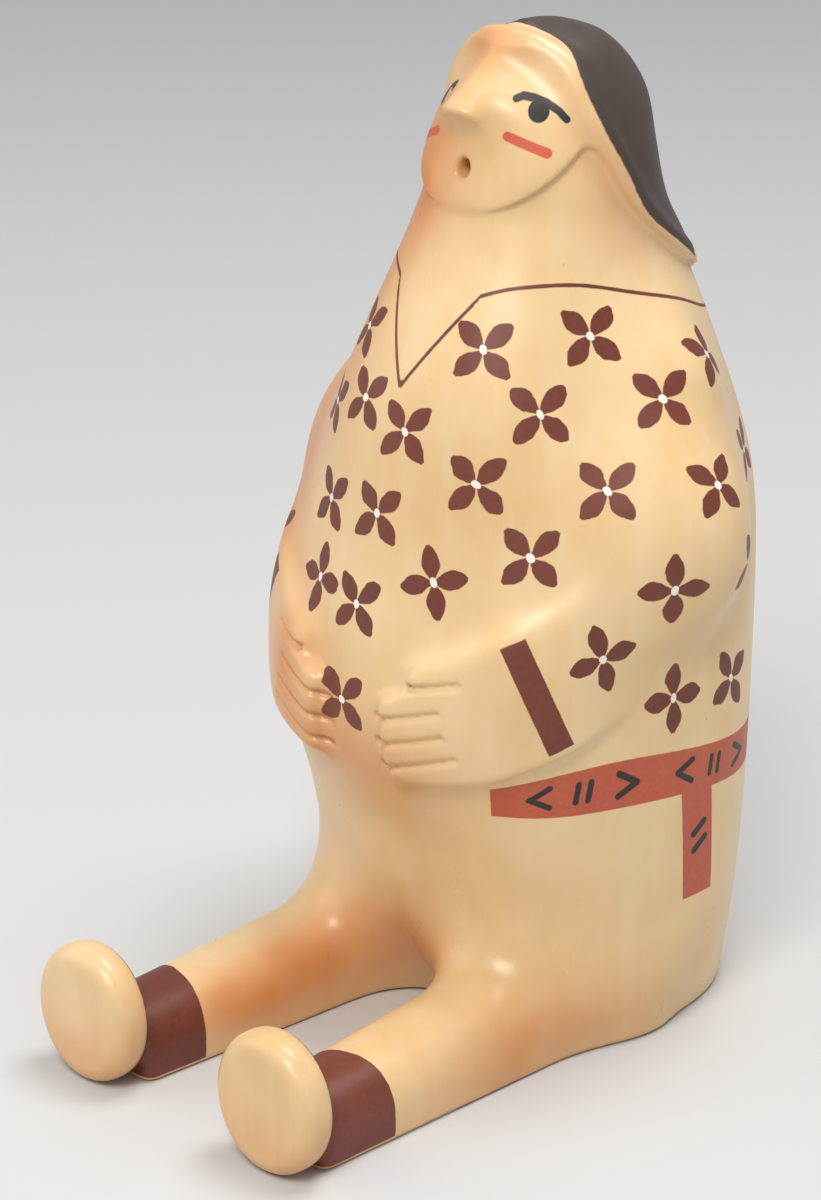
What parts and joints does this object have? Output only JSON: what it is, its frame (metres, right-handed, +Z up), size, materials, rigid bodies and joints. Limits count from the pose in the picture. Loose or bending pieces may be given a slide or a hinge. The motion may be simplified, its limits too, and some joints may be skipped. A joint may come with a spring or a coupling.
{
  "type": "seated pottery figure",
  "caption": "Seated pottery figure in a long patterned robe with its hands on its belly, legs out in front and mouth open, standing by itself as an ornament.",
  "frame": {"origin": "on the ground under the middle of the figure's box, seen from above", "axes": "+Z up from the ground to the crown of the head, -Y the way the figure faces, +X towards the figure's left hand"},
  "size_m": [0.1216, 0.1644, 0.2259],
  "materials": {
    "painted_clay": "burnished cream clay with a satin shine and amber firing clouds, painted in matte brown, terracotta and near-black slip"
  },
  "bodies": {
    "root": {"seated_figure": "painted_clay"}
  },
  "joints": []
}
